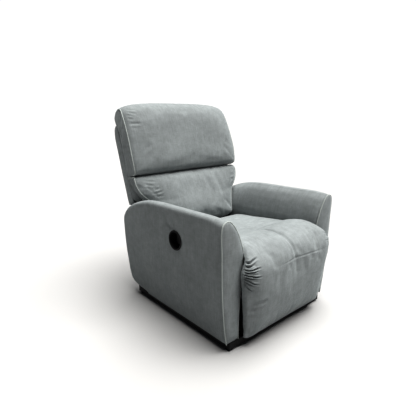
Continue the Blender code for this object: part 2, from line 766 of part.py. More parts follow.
# ---- assembly -----------------------------------------------------------------------------------------
def build_chair():
    base = body("base", (0, 0, 0))
    build_plinth(base)
    for word, side in SIDES:
        build_arm(word, side, base)
    build_rear_apron(base)
    build_base_plates(base)
    build_handle(base, body("lever", LEVER_HINGE), body("latch", LATCH_PIVOT))

    seat = body("seat", DRAG_PIN)
    build_seat_frame(seat)
    build_seat_pads(seat)
    build_seat_plates(seat)
    build_drive_spring(seat)

    build_links(body("rear_links", REAR_PIVOT), body("front_links", front_link_pivot()))
    upper_bars = body("upper_bars", REAR_PIVOT + LINK_DIRECTION * UPPER_ARM)
    lower_bars = body("lower_bars", REAR_PIVOT + LINK_DIRECTION * LOWER_ARM)
    build_bars(upper_bars, lower_bars)
    build_footrest(body("footrest", CENTRE))

    back = body("back", BACK_PIVOT, BACK_LEAN)
    build_back_frame(back)
    build_back_pads(back)
    build_back_brackets(back)
    build_drag_links(body("drag_links", DRAG_PIN))


build_chair()
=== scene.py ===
"""Looks for the recliner armchair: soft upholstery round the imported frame, materials, camera and light."""

import json
import math

import bmesh
import bpy
import numpy as np
from mathutils import Matrix, Vector, noise


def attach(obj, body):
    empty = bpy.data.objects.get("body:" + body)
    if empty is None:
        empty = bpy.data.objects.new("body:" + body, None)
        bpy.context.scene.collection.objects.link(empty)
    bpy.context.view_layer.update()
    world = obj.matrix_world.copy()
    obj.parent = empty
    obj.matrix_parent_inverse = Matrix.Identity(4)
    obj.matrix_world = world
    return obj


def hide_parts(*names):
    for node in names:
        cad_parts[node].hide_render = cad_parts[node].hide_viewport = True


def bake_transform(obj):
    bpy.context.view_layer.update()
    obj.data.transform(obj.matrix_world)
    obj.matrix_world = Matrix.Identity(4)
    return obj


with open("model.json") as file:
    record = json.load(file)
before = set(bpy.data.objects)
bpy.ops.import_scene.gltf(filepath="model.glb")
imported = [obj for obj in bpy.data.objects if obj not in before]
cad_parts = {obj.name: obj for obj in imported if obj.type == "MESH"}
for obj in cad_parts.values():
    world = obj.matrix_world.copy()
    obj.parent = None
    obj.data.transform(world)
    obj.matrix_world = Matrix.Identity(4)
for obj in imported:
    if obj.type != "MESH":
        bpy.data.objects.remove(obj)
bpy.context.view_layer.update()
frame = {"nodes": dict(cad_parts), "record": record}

# ---- driving dimensions, in metres: x to the sitter's left, y to the rear, z up -----------------------
BACK_PIVOT = Vector((0.0, 0.225, 0.360))
BACK_LEAN = math.radians(18)
BACK = Matrix.Translation(BACK_PIVOT) @ Matrix.Rotation(-BACK_LEAN, 4, "X")
PIPING = 0.0026
ARM_FRONT = -0.4045
ARM_FOOT = 0.046
ARM_ROUNDING = 0.028
CUP = (-0.097, 0.445)
CUP_HOLE_RADIUS = 0.0445
SEAM_HEIGHT = 0.376
SEAM_DROP = 0.010
SEAT_HALF_WIDTH = 0.27

# ---- view and light -----------------------------------------------------------------------------------
CAMERA_PLACE = (-1.3337, -1.3755, 1.0185)
CAMERA_TURNS = (41.87, 14.82, 0.27)
LENS, LENS_SHIFT = 31.59, (-0.0028, -0.0008)
SUN, SUN_FROM, SUN_SIZE = 9.2, (0.17, -0.15, 0.97), math.radians(52)
AMBIENT = 0.07
GLOW, GLOW_TOWARD, GLOW_EDGE = 1.06, (0.662, 0.739, -0.130), (0.50, 0.74)
GAMMA = 0.75
FLOOR_GREY = 0.355


# ---- small curve and mesh helpers ---------------------------------------------------------------------
def curve_through(points, steps, closed=False):
    """A fine Catmull-Rom curve with steps points a stretch. A closed one's last point repeats its first."""
    if closed:
        ends = np.vstack([points[-2], points, points[1]])
    else:
        ends = np.vstack([2 * points[0] - points[1], points, 2 * points[-1] - points[-2]])
    t = np.linspace(0, 1, steps, endpoint=False)[:, None]
    fine = []
    for a, b, c, d in zip(ends, ends[1:], ends[2:], ends[3:]):
        bend, twist = 2 * a - 5 * b + 4 * c - d, 3 * b - a - 3 * c + d
        fine.append(0.5 * (2 * b + (c - a) * t + bend * t**2 + twist * t**3))
    return np.vstack([*fine, points[-1:]])


def lengths_along(points):
    """How far along a polyline each of its points lies."""
    return np.concatenate([[0], np.cumsum(np.linalg.norm(np.diff(points, axis=0), axis=1))])


def read(table, run, at):
    """The table's rows, which belong to the places in run, at other places along it."""
    return np.stack([np.interp(at, run, table[:, k]) for k in range(table.shape[1])], 1)


def spline(points, count, power=1.0):
    """count points on a Catmull-Rom curve through the points, evenly spaced by length when power is 1."""
    fine = curve_through(np.array(points, float), 24)
    run = lengths_along(fine)
    return read(fine, run, np.linspace(0, 1, count) ** power * run[-1])


def paired(tables, count, closed=False):
    """Several tables of control points resampled at the same places, spaced by the first one's length."""
    stacks = [np.array(t, float) for t in tables]
    width = stacks[0].shape[1]
    joined = np.hstack(stacks)
    if closed:
        joined = np.vstack([joined, joined[:1]])
    fine = curve_through(joined, 16, closed)
    run = lengths_along(fine[:, :width])
    even = read(fine, run, np.linspace(0, run[-1], count, endpoint=not closed))
    starts = np.cumsum([0] + [s.shape[1] for s in stacks])
    return [even[:, a:b] for a, b in zip(starts, starts[1:])]


def add_mesh(name, points, faces, uv=None):
    mesh = bpy.data.meshes.new(name)
    mesh.from_pydata([tuple(p) for p in points], [], faces)
    mesh.update()
    if uv is not None:
        layer = mesh.uv_layers.new(name="UVMap")
        loops = np.zeros(len(mesh.loops), np.int32)
        mesh.loops.foreach_get("vertex_index", loops)
        layer.data.foreach_set("uv", np.asarray(uv, np.float32)[loops].ravel())
    shape = bmesh.new()
    shape.from_mesh(mesh)
    bmesh.ops.recalc_face_normals(shape, faces=shape.faces)
    shape.to_mesh(mesh)
    shape.free()
    mesh.shade_smooth()
    obj = bpy.data.objects.new(name, mesh)
    bpy.context.collection.objects.link(obj)
    return obj


def ring_faces(rings, size):
    """Quads between rings of size points each, numbered ring by ring, and a face that closes each end."""
    faces = []
    for i in range(rings - 1):
        a, b = i * size, (i + 1) * size
        faces += [(a + j, a + (j + 1) % size, b + (j + 1) % size, b + j) for j in range(size)]
    return faces + [tuple(range(size)), tuple(range((rings - 1) * size, rings * size))]


def two_skins(name, first, second, rows, columns, uv):
    """A closed mesh of two grids, each rows by columns points, joined all round their edges."""
    faces, count = [], rows * columns
    for start, step in ((0, 1), (count, -1)):
        corners = [start + i * columns + j for i in range(rows - 1) for j in range(columns - 1)]
        faces += [(a, a + 1, a + columns + 1, a + columns)[::step] for a in corners]
    edge = [j for j in range(columns)] + [i * columns + columns - 1 for i in range(1, rows)]
    edge += [(rows - 1) * columns + j for j in range(columns - 2, -1, -1)]
    edge += [i * columns for i in range(rows - 2, 0, -1)]
    faces += [(a, b, b + count, a + count) for a, b in zip(edge, edge[1:] + edge[:1])]
    obj = add_mesh(name, np.vstack([first, second]), faces, uv)
    shape = bmesh.new()
    shape.from_mesh(obj.data)
    bmesh.ops.remove_doubles(shape, verts=shape.verts, dist=0.00005)
    shape.to_mesh(obj.data)
    shape.free()
    return obj


def tube(name, points, radius, sides=8):
    """A round cord along the points, such as piping, with rounded ends."""
    pts = np.array(points, float)
    along = np.vstack([pts[1:], pts[-1:]]) - np.vstack([pts[:1], pts[:-1]])
    along /= np.linalg.norm(along, axis=1)[:, None]
    side = np.cross(along[0], (0.3, 0.5, 0.8))
    side /= np.linalg.norm(side)
    rings = []
    for p, t in zip(pts, along):
        side = side - t * (side @ t)
        side /= np.linalg.norm(side)
        up = np.cross(t, side)
        turn = np.arange(sides) * 2 * math.pi / sides
        rings.append(p + radius * (np.cos(turn)[:, None] * side + np.sin(turn)[:, None] * up))
    for end, ring in ((0, rings[0]), (-1, rings[-1])):
        tip = pts[end] + (ring - pts[end]) * 0.35 + along[end] * radius * (0.8 if end else -0.8)
        rings.insert(len(rings) if end else 0, tip)
    return add_mesh(name, np.vstack(rings), ring_faces(len(rings), sides))


def coordinates(obj, value="co"):
    values = np.zeros(len(obj.data.vertices) * 3)
    obj.data.vertices.foreach_get(value, values)
    return values.reshape(-1, 3)


def normals(obj):
    return coordinates(obj, "normal")


def set_coordinates(obj, co):
    obj.data.vertices.foreach_set("co", np.asarray(co, np.float32).ravel())
    obj.data.update()


def subdivided(obj):
    """The object's mesh with one level of subdivision surface applied."""
    mod = obj.modifiers.new("subdivision", "SUBSURF")
    mod.levels = mod.render_levels = 1
    mod.uv_smooth = "NONE"
    mesh = bpy.data.meshes.new_from_object(obj.evaluated_get(bpy.context.evaluated_depsgraph_get()))
    obj.modifiers.remove(mod)
    old, obj.data = obj.data, mesh
    bpy.data.meshes.remove(old)
    mesh.name = obj.name
    mesh.shade_smooth()
    return obj


def smoothstep(x, low, high):
    t = np.clip((x - low) / (high - low), 0, 1)
    return t * t * (3 - 2 * t)


def wander(points, scale, seed):
    """Smooth noise between -1 and 1 at each point."""
    offset = Vector((seed * 7.31, seed * 3.17, seed * 5.73))
    return np.array([noise.noise(Vector(p) * scale + offset) for p in points])


def path_distance(points, path):
    """Distance of each point from a polyline, and how far along it the nearest place is, from 0 to 1."""
    path = np.asarray(path, float)
    best = np.full(len(points), 1e9)
    where = np.zeros(len(points))
    lengths = np.linalg.norm(np.diff(path, axis=0), axis=1)
    total, done = lengths.sum(), 0.0
    for a, b, length in zip(path, path[1:], lengths):
        t = np.clip(((points - a) @ (b - a)) / max(length**2, 1e-12), 0, 1)
        gap = np.linalg.norm(points - a - t[:, None] * (b - a), axis=1)
        closer = gap < best
        best[closer] = gap[closer]
        where[closer] = ((done + t * length) / total)[closer]
        done += length
    return best, where


def crease(points, path, width, depth, taper=0.25, lip=0.35):
    """Depth of a fold along a path: a narrow valley, a soft lip each side, fading towards its ends."""
    gap, where = path_distance(points, path)
    fade = smoothstep(where, 0, taper) * (1 - smoothstep(where, 1 - taper, 1))
    q = gap / width
    return depth * fade * (np.exp(-(q**2)) - lip * np.exp(-((q - 2.0) ** 2) / 0.9))


def creases(points, marks, width=1.0, depth=1.0):
    """All the folds of a table whose rows are a path, the fold's width and depth, and its taper."""
    total = np.zeros(len(points))
    for path, wide, deep, taper in marks:
        total += crease(points, np.array(path, float), width * wide, depth * deep, taper)
    return total


# ---- camera, light and stage --------------------------------------------------------------------------
def make_camera():
    yaw, pitch, roll = (math.radians(a) for a in CAMERA_TURNS)
    forward = Vector((math.sin(yaw) * math.cos(pitch), math.cos(yaw) * math.cos(pitch), -math.sin(pitch)))
    right = Vector((math.cos(yaw), -math.sin(yaw), 0))
    up = right.cross(forward)
    right, up = right * math.cos(roll) + up * math.sin(roll), up * math.cos(roll) - right * math.sin(roll)
    data = bpy.data.cameras.new("camera")
    data.lens = LENS
    data.sensor_width = 36
    data.shift_x, data.shift_y = LENS_SHIFT
    camera = bpy.data.objects.new("camera", data)
    axes = Matrix((right, up, -forward)).transposed().to_4x4()
    camera.matrix_world = Matrix.Translation(CAMERA_PLACE) @ axes
    bpy.context.collection.objects.link(camera)
    bpy.context.scene.camera = camera


def make_world():
    """Dim all round, with a white backdrop's glow on the side behind the chair."""
    world = bpy.data.worlds.new("studio")
    world.use_nodes = True
    nodes, links = world.node_tree.nodes, world.node_tree.links
    ground = nodes["Background"]
    ground.inputs["Color"].default_value = (0.90, 0.95, 1.0, 1)
    ground.inputs["Strength"].default_value = AMBIENT
    glow = nodes.new("ShaderNodeBackground")
    glow.inputs["Color"].default_value = (1, 1, 1, 1)
    glow.inputs["Strength"].default_value = GLOW
    direction = nodes.new("ShaderNodeTexCoord").outputs["Generated"]
    toward = nodes.new("ShaderNodeVectorMath")
    toward.operation = "DOT_PRODUCT"
    toward.inputs[1].default_value = GLOW_TOWARD
    edge = nodes.new("ShaderNodeMapRange")
    edge.interpolation_type = "SMOOTHSTEP"
    edge.inputs["From Min"].default_value, edge.inputs["From Max"].default_value = GLOW_EDGE
    mix = nodes.new("ShaderNodeMixShader")
    links.new(direction, toward.inputs[0])
    links.new(toward.outputs["Value"], edge.inputs["Value"])
    for source, socket in zip((edge, ground, glow), mix.inputs):
        links.new(source.outputs[0], socket)
    links.new(mix.outputs[0], nodes["World Output"].inputs[0])
    bpy.context.scene.world = world


def make_stage():
    bpy.context.scene.view_settings.view_transform = "Standard"
    bpy.context.scene.view_settings.gamma = GAMMA
    make_world()
    data = bpy.data.lights.new("overhead", "SUN")
    data.energy = SUN
    data.angle = SUN_SIZE
    data.color = (1.0, 0.985, 0.965)
    sun = bpy.data.objects.new("overhead", data)
    sun.rotation_euler = Vector(SUN_FROM).to_track_quat("Z", "Y").to_euler()
    bpy.context.collection.objects.link(sun)
    floor = add_mesh("floor", [(-60, -60, 0), (60, -60, 0), (60, 60, 0), (-60, 60, 0)], [(0, 1, 2, 3)])
    paint = bpy.data.materials.new("floor_paint")
    paint.use_nodes = True
    shader = paint.node_tree.nodes["Principled BSDF"]
    shader.inputs["Base Color"].default_value = (FLOOR_GREY, FLOOR_GREY, FLOOR_GREY, 1)
    shader.inputs["Roughness"].default_value = 0.9
    shader.inputs["Specular IOR Level"].default_value = 0.1
    floor.data.materials.append(paint)


# ---- materials ----------------------------------------------------------------------------------------
class Nodes:
    """Builds a node material in a few calls."""

    def __init__(self, name):
        self.material = bpy.data.materials.new(name)
        self.material.use_nodes = True
        self.tree = self.material.node_tree
        self.shader = self.tree.nodes["Principled BSDF"]

    def add(self, kind, links=None, **settings):
        node = self.tree.nodes.new(kind)
        for key, value in settings.items():
            setattr(node, key, value)
        for socket, value in (links or {}).items():
            self.feed(node.inputs[socket], value)
        return node

    def feed(self, socket, value):
        if isinstance(value, bpy.types.NodeSocket):
            self.tree.links.new(value, socket)
        else:
            socket.default_value = value

    def maths(self, operation, a, b=0.0, c=0.0):
        return self.add("ShaderNodeMath", {0: a, 1: b, 2: c}, operation=operation).outputs[0]

    def mix(self, factor, a, b):
        node = self.add("ShaderNodeMix", data_type="RGBA")
        self.feed(node.inputs[0], factor)
        self.feed(node.inputs[6], a)
        self.feed(node.inputs[7], b)
        return node.outputs[2]

    def noise(self, vector, scale, detail=2.0, roughness=0.5):
        links = {"Vector": vector, "Scale": scale, "Detail": detail, "Roughness": roughness}
        return self.add("ShaderNodeTexNoise", links).outputs["Fac"]

    def stretched(self, vector, scale):
        return self.add("ShaderNodeMapping", {"Vector": vector, "Scale": scale}).outputs["Vector"]

    def shade(self, **values):
        for name, value in values.items():
            self.feed(self.shader.inputs[name.replace("_", " ")], value)


def rgb(*colour):
    return (*colour, 1.0)


def fabric(name, colour, contrast=1.0):
    """Brushed microfibre: fine warp and weft, longer slubs, a cloudy nap, and sheen at grazing angles."""
    n = Nodes(name)
    places = n.add("ShaderNodeTexCoord")
    uv, at = places.outputs["UV"], places.outputs["Object"]
    warp = n.noise(n.stretched(uv, (520, 40, 1)), 1.0, 2.0, 0.6)
    weft = n.noise(n.stretched(uv, (40, 520, 1)), 1.0, 2.0, 0.6)
    slub = n.noise(n.stretched(uv, (150, 9, 1)), 1.0, 3.0, 0.6)
    cross = n.noise(n.stretched(uv, (9, 130, 1)), 1.0, 2.0, 0.6)
    cloud = n.noise(at, 6.0, 3.0, 0.55)
    patch = n.noise(at, 30.0, 3.0, 0.6)
    tone = n.maths("MULTIPLY", n.maths("ADD", warp, weft), 0.42)
    for source, amount in ((slub, 0.44), (cross, 0.14), (cloud, 0.46), (patch, 0.54)):
        tone = n.maths("MULTIPLY_ADD", source, amount, tone)
    factor = n.maths("MULTIPLY_ADD", n.maths("SUBTRACT", tone, 1.21), contrast, 0.5)
    tint = n.mix(factor, rgb(*[c * 0.66 for c in colour]), rgb(*[min(1, c * 1.34) for c in colour]))
    fine = n.noise(at, 900.0, 2.0, 0.7)
    thread = n.maths("MULTIPLY_ADD", slub, 0.8, n.maths("ADD", warp, weft))
    relief = n.maths("MULTIPLY_ADD", fine, 0.6, thread)
    bump = n.add("ShaderNodeBump", {"Height": relief, "Strength": 0.40, "Distance": 0.0012})
    n.shade(
        Base_Color=tint,
        Roughness=0.90,
        Sheen_Weight=0.30,
        Sheen_Roughness=0.42,
        Sheen_Tint=rgb(0.86, 0.94, 0.96),
        Specular_IOR_Level=0.14,
        Normal=bump.outputs["Normal"],
    )
    return n.material


def painted(name, colour, roughness, metallic=0.0, grain=260, relief=0.12, gloss=0.5):
    """Moulded plastic, paint or coated steel: fine grain, uneven gloss and slightly lighter wear."""
    n = Nodes(name)
    at = n.add("ShaderNodeTexCoord").outputs["Object"]
    cloud = n.noise(at, 14.0, 3.0, 0.6)
    fine = n.noise(at, grain, 3.0, 0.6)
    dark = [c * 0.75 for c in colour]
    light = [min(1, c * 1.25 + 0.004) for c in colour]
    bump = n.add("ShaderNodeBump", {"Height": fine, "Strength": relief, "Distance": 0.0006})
    n.shade(
        Base_Color=n.mix(cloud, rgb(*dark), rgb(*light)),
        Roughness=n.maths("MULTIPLY_ADD", cloud, 0.18, roughness - 0.09),
        Metallic=metallic,
        Specular_IOR_Level=gloss,
        Normal=bump.outputs["Normal"],
    )
    return n.material


def plywood(name):
    """Birch plywood: long grain streaks with a few darker lines."""
    n = Nodes(name)
    at = n.add("ShaderNodeTexCoord").outputs["Object"]
    grain = n.noise(n.stretched(at, (18, 4, 90)), 1.0, 5.0, 0.65)
    lines = n.noise(n.stretched(at, (60, 6, 320)), 1.0, 3.0, 0.7)
    factor = n.maths("MULTIPLY_ADD", lines, 0.45, n.maths("MULTIPLY", grain, 0.6))
    bump = n.add("ShaderNodeBump", {"Height": lines, "Strength": 0.2, "Distance": 0.0006})
    n.shade(
        Base_Color=n.mix(factor, rgb(0.36, 0.23, 0.12), rgb(0.72, 0.55, 0.36)),
        Roughness=0.62,
        Normal=bump.outputs["Normal"],
    )
    return n.material


GREY = (0.217, 0.2335, 0.2365)
FABRIC = {}


def make_materials():
    FABRIC["main"] = fabric("upholstery", GREY, 1.2)
    # the piping cloth is the upholstery made lighter: a painted highlight along the cords, where they catch
    # the light
    FABRIC["piping"] = fabric("piping_cloth_painted_highlight", (0.34, 0.365, 0.355), 0.5)
    finishes = {
        "black_wood": painted("black_paint", (0.006, 0.006, 0.0065), 0.5, grain=90.0, gloss=0.2),
        "plywood": plywood("birch_plywood"),
        "black_plastic": painted("black_moulding", (0.0035, 0.0035, 0.004), 0.55, grain=600, gloss=0.16),
        "black_steel": painted("black_coated_steel", (0.022, 0.022, 0.024), 0.38, 0.6),
        "spring_steel": painted("spring_wire", (0.42, 0.42, 0.44), 0.32, 1.0, relief=0.05),
        "fabric": FABRIC["main"],
    }
    slots = {s["node"]: s["material_slot"] for s in frame["record"]["subparts"]}
    for name, node in frame["nodes"].items():
        material = finishes[slots[name]]
        if not node.material_slots:
            node.data.materials.append(material)
        for slot in node.material_slots:
            slot.material = material


def dress(obj, body, cloth="main", replaces=()):
    """Gives a soft piece its cloth, the body it rides on and the CAD nodes it stands for."""
    obj.data.materials.clear()
    obj.data.materials.append(FABRIC[cloth])
    if body:
        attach(obj, body)
    if replaces:
        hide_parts(*replaces)
    return obj


# ---- arms ---------------------------------------------------------------------------------------------
# (height, x) of an arm's outer and inner sides
OUTER_X = (
    (ARM_FOOT, 0.3645), (0.128, 0.379), (0.259, 0.3905), (0.333, 0.3945), (0.474, 0.398), (0.62, 0.399),
)
INNER_X = (
    (ARM_FOOT, 0.299), (0.146, 0.297), (0.247, 0.290), (0.320, 0.2815), (0.392, 0.2765), (0.430, 0.2755),
    (0.62, 0.2755),
)
# how far the inner side lies in, against the square root of the distance from the arm's edge
ROUND_IN = (
    (0.0, 0.0945), (0.095, 0.077), (0.170, 0.054), (0.259, 0.030), (0.329, 0.0135), (0.379, 0.0035),
    (0.43, 0.0),
)
# (y, z) of an arm's top from the front to the rear, and of its rear from the foot up
TOP_LINE = (
    (-0.4045, 0.599), (-0.385, 0.603), (-0.350, 0.6055), (-0.300, 0.606), (-0.171, 0.602),
    (-0.043, 0.599), (0.063, 0.595), (0.141, 0.587), (0.190, 0.5765), (0.240, 0.5615), (0.292, 0.540),
    (0.338, 0.511), (0.365, 0.484), (0.380, 0.461), (0.3855, 0.436),
)
REAR_LINE = (
    (0.215, 0.046), (0.270, 0.0495), (0.325, 0.057), (0.352, 0.068), (0.3665, 0.087),
    (0.373, 0.115), (0.3765, 0.160), (0.380, 0.230), (0.3835, 0.310), (0.3855, 0.375),
    (0.3855, 0.436),
)


def eased(table, x):
    """The table's value at x, smoothed over its corners."""
    table = np.array(table)
    fine = np.linspace(table[0, 0], table[-1, 0], 160)
    values = np.interp(fine, table[:, 0], table[:, 1])
    kernel = np.hanning(25)
    kernel /= kernel.sum()
    padded = np.concatenate([2 * values[0] - values[12:0:-1], values, 2 * values[-1] - values[-2:-14:-1]])
    return np.interp(x, fine, np.convolve(padded, kernel, "valid"))


def arm_side(top, rear, rows, columns):
    """A grid of (y, z) places that fills an arm's side, closer together towards its top and rear."""
    u = 1 - (1 - np.linspace(0, 1, columns)) ** 1.75
    v = 1 - (1 - np.linspace(0, 1, rows)) ** 1.75
    corner = np.array((top[0, 0], ARM_FOOT))
    front = corner + v[:, None] * np.array((0, top[0, 1] - ARM_FOOT))
    foot = corner + u[:, None] * np.array((rear[0, 0] - top[0, 0], 0))
    over, back = (read(line, np.linspace(0, 1, len(line)), t) for line, t in ((top, u), (rear, v)))
    u, v = u[None, :, None], v[:, None, None]
    patch = (1 - v) * foot[None] + v * over[None] + (1 - u) * front[:, None] + u * back[:, None]
    low = (1 - u) * (1 - v) * foot[0] + u * (1 - v) * foot[-1]
    high = (1 - u) * v * over[0] + u * v * over[-1]
    return (patch - (low + high)).reshape(-1, 2)


def arm_cover(word, side):
    """An arm's padded cover: two skins that meet in a rounded top and rear."""
    columns, rows = 76, 64
    top, rear = spline(TOP_LINE, 400), spline(REAR_LINE, 300)
    flat = arm_side(top, rear, rows, columns)
    outline = np.vstack([top, rear[::-1]])[::6]
    gap, _ = path_distance(flat, outline)
    near = np.argmin(((flat[:, None, :] - outline[None]) ** 2).sum(2), 1)
    slope = np.gradient(outline, axis=0)
    rearness = (slope[:, 1] ** 2 / (slope**2).sum(1))[near]
    y, z = flat[:, 0], flat[:, 1]
    radius = ARM_ROUNDING - 0.009 * smoothstep(y, -0.400, -0.300)
    q = np.clip(gap / radius, 0, 1)
    outer, inner = eased(OUTER_X, z), eased(INNER_X, z)
    room = np.clip((outer - ARM_ROUNDING - inner) / ROUND_IN[0][1], 0, 1)
    outer = outer - radius * (1 - np.sqrt(1 - (1 - q) ** 2))
    inner = inner + room * np.interp(np.sqrt(gap * (1 + 1.9 * rearness)), *np.array(ROUND_IN).T)
    ridge = (outer + inner) / 2
    tuck = 0.0032 * (1 - np.sqrt(np.clip((y - ARM_FRONT) / 0.006, 0, 1)))
    outer, inner = outer - tuck, inner + tuck
    closed = np.clip(1 - gap / 0.0012, 0, 1)
    outer, inner = (a + (ridge - a) * closed for a in (outer, inner))
    places = np.stack([np.zeros_like(y), y, z], 1)
    soft = smoothstep(gap, 0.0, 0.05)
    swell = np.sin(np.clip((y - ARM_FRONT) / 0.78, 0, 1) * math.pi)
    swell *= np.sin(np.clip((z - ARM_FOOT) / 0.5, 0, 1) * math.pi)
    outer = outer + soft * (0.0015 * swell + 0.0012 * wander(places, 5.0, 3 + side) - 0.001)
    inner = inner - soft * (0.0008 * wander(places, 6.0, 9 + side) - 0.0008)
    skins = [np.stack([side * x, y, z], 1) for x in (outer, inner)]
    uv = np.vstack([flat, flat + (2.0, 0.0)])
    cover = two_skins(f"arm_cover_{word}", *skins, rows, columns, uv)
    press_arm(cover, side)
    if side < 0:
        cut_cup(cover)
    return cover


def press_arm(cover, side):
    """Soft dents: round the handle cup, and the pull marks where the fabric turns the corners."""
    co = coordinates(cover)
    out = smoothstep(side * co[:, 0], 0.33, 0.37)
    depth = np.zeros(len(co))
    flat = co[:, 1:3]
    if side < 0:
        reach = np.linalg.norm(flat - np.array(CUP), axis=1)
        depth += 0.0022 * np.exp(-(((reach - 0.052) / 0.016) ** 2))
        pull = ((-0.066, 0.484), (-0.052, 0.497), (-0.036, 0.505))
        depth += crease(flat, pull, 0.012, 0.005, 0.3, 0.3)
        depth += crease(flat, ((-0.060, 0.475), (-0.030, 0.520)), 0.020, 0.0022, 0.3, 0.2)
        depth += crease(flat, ((-0.130, 0.486), (-0.150, 0.520)), 0.014, 0.0014, 0.4, 0.2)
    depth += crease(flat, ((0.30, 0.40), (0.22, 0.44), (0.12, 0.455)), 0.022, 0.0014, 0.4, 0.4)
    depth += crease(flat, ((-0.38, 0.10), (-0.30, 0.13), (-0.20, 0.135)), 0.018, 0.0012, 0.4, 0.4)
    depth += crease(flat, ((0.30, 0.12), (0.20, 0.15), (0.08, 0.155)), 0.020, 0.0014, 0.4, 0.4)
    co[:, 0] -= side * out * depth
    set_coordinates(cover, co)


def cut_cup(cover):
    """The round hole that the handle cup sits in."""
    shape = bmesh.new()
    turn = Matrix.Translation((-0.385, *CUP)) @ Matrix.Rotation(math.pi / 2, 4, "Y")
    size = {"segments": 64, "radius1": CUP_HOLE_RADIUS, "radius2": CUP_HOLE_RADIUS, "depth": 0.078}
    bmesh.ops.create_cone(shape, cap_ends=True, matrix=turn, **size)
    mesh = bpy.data.meshes.new("cup_cutter")
    shape.to_mesh(mesh)
    shape.free()
    cutter = bpy.data.objects.new("cup_cutter", mesh)
    bpy.context.collection.objects.link(cutter)
    cut = cover.modifiers.new("cup", "BOOLEAN")
    cut.operation, cut.solver, cut.object = "DIFFERENCE", "EXACT", cutter
    mesh = bpy.data.meshes.new_from_object(cover.evaluated_get(bpy.context.evaluated_depsgraph_get()))
    cover.modifiers.clear()
    cover.data = mesh
    mesh.shade_smooth()
    mesh.set_sharp_from_angle(angle=math.radians(60))
    bpy.data.objects.remove(cutter)


# (x, z) of an arm front's inner and outer edges, from the foot to where they meet on top
PANEL_INNER = (
    (0.2925, 0.0465), (0.2925, 0.146), (0.288, 0.247), (0.281, 0.320), (0.2765, 0.392), (0.2745, 0.430),
    (0.278, 0.458), (0.289, 0.492), (0.305, 0.531), (0.325, 0.564), (0.341, 0.584), (0.354, 0.595),
    (0.369, 0.599),
)
PANEL_OUTER = (
    (0.3635, 0.0465), (0.378, 0.128), (0.3905, 0.259), (0.3945, 0.333), (0.398, 0.474), (0.401, 0.535),
    (0.4005, 0.560), (0.397, 0.579), (0.3905, 0.590), (0.3815, 0.5965), (0.369, 0.599),
)


def front_panel(word, side):
    """The padded panel that closes the front of an arm, crowned a little."""
    rows, columns = 84, 19
    inner, outer = spline(PANEL_INNER, rows, 0.9), spline(PANEL_OUTER, rows, 0.9)
    c = (1 - np.cos(np.linspace(0, math.pi, columns))) / 2
    s = np.linspace(0, 1, rows)
    across = inner[:, None, :] + c[None, :, None] * (outer - inner)[:, None, :]
    arch = (1 - np.abs(2 * c - 1) ** 2.6) ** 0.55
    fade = np.clip(smoothstep(s, -0.02, 0.05), 0, 1) * np.sqrt(np.clip(1 - s**9, 0, 1))
    rise = 0.0012 + 0.0138 * fade[:, None] * arch[None, :]
    flat = across.reshape(-1, 2)
    y = ARM_FRONT - rise.ravel()
    front = np.stack([side * flat[:, 0], y, flat[:, 1]], 1)
    marks = 0.0007 * wander(front, 14.0, 21 + side)
    marks += crease(flat, ((0.392, 0.30), (0.365, 0.285)), 0.010, 0.001, 0.4)
    marks += crease(flat, ((0.300, 0.16), (0.325, 0.150)), 0.010, 0.0012, 0.4)
    front[:, 1] += marks * (rise.ravel() > 0.005)
    back = front.copy()
    back[:, 1] = ARM_FRONT - 0.0006
    uv = np.vstack([flat, flat])
    panel = two_skins(f"arm_front_cover_{word}", front, back, rows, columns, uv)
    dress(panel, "base", replaces=[f"arm_front_panel_{word}"])
    edge = np.vstack([inner, outer[-2::-1]])
    middle = edge.mean(0)
    edge = edge + (edge - middle) * 0.004
    cord = np.stack([side * edge[:, 0], np.full(len(edge), ARM_FRONT - 0.0038), edge[:, 1]], 1)
    dress(tube(f"arm_front_piping_{word}", cord, PIPING), "base", "piping")


def make_arms():
    for word, side in (("left", 1), ("right", -1)):
        dress(arm_cover(word, side), "base", replaces=[f"arm_pad_{word}"])
        front_panel(word, side)


# ---- pillows of the back ------------------------------------------------------------------------------
def crown(a, power=2.4):
    """How far a cushion stands out at a share a of its half-width: 1 in the middle, 0 at its edge."""
    return np.clip(1 - np.abs(a) ** power, 0, 1) ** (1 / 1.9)


class Pillow:
    """A crowned pad lofted across the back, with boxed sides. Its rings lie across its width."""

    def __init__(self, name, table, power=2.4, size=104, half=30, bulge=0.008):
        middle, rim, reach = zip(*table)
        middle, rim, width = paired([middle, rim, [(r,) for r in reach]], size, closed=True)
        width = width[:, 0]
        shares = np.sin(np.linspace(-1, 1, 2 * half + 1) * math.pi / 2)
        shares = 0.55 * shares + 0.45 * np.linspace(-1, 1, 2 * half + 1)
        heart = rim.mean(0)
        insets = (0.965, 0.90, 0.80, 0.66, 0.50, 0.34, 0.18, 0.06)
        rings, kinds = [], []
        for side_inset in insets[::-1]:
            rings.append(self.boxed(rim, width, heart, side_inset, -1, bulge))
            kinds.append(-1 - (1 - side_inset))
        for a in shares:
            place = rim + (middle - rim) * crown(a, power)
            rings.append(np.column_stack([a * width, -place[:, 0], place[:, 1]]))
            kinds.append(a)
        for side_inset in insets:
            rings.append(self.boxed(rim, width, heart, side_inset, 1, bulge))
            kinds.append(1 + (1 - side_inset))
        self.share = np.repeat(kinds, size)
        points = np.vstack(rings)
        uv = np.column_stack([points[:, 0], np.tile(lengths_along(middle), len(rings))])
        uv = np.where(np.abs(self.share)[:, None] > 1 + 1e-6, points[:, 1:], uv)
        self.local = points
        self.obj = add_mesh(name, points, ring_faces(len(rings), size), uv)

    def boxed(self, rim, width, heart, inset, side, bulge):
        place = heart + (rim - heart) * inset
        x = width * inset + width.mean() * (1 - inset) + bulge * math.sqrt(1 - inset**2)
        return np.column_stack([side * x, -place[:, 0], place[:, 1]])


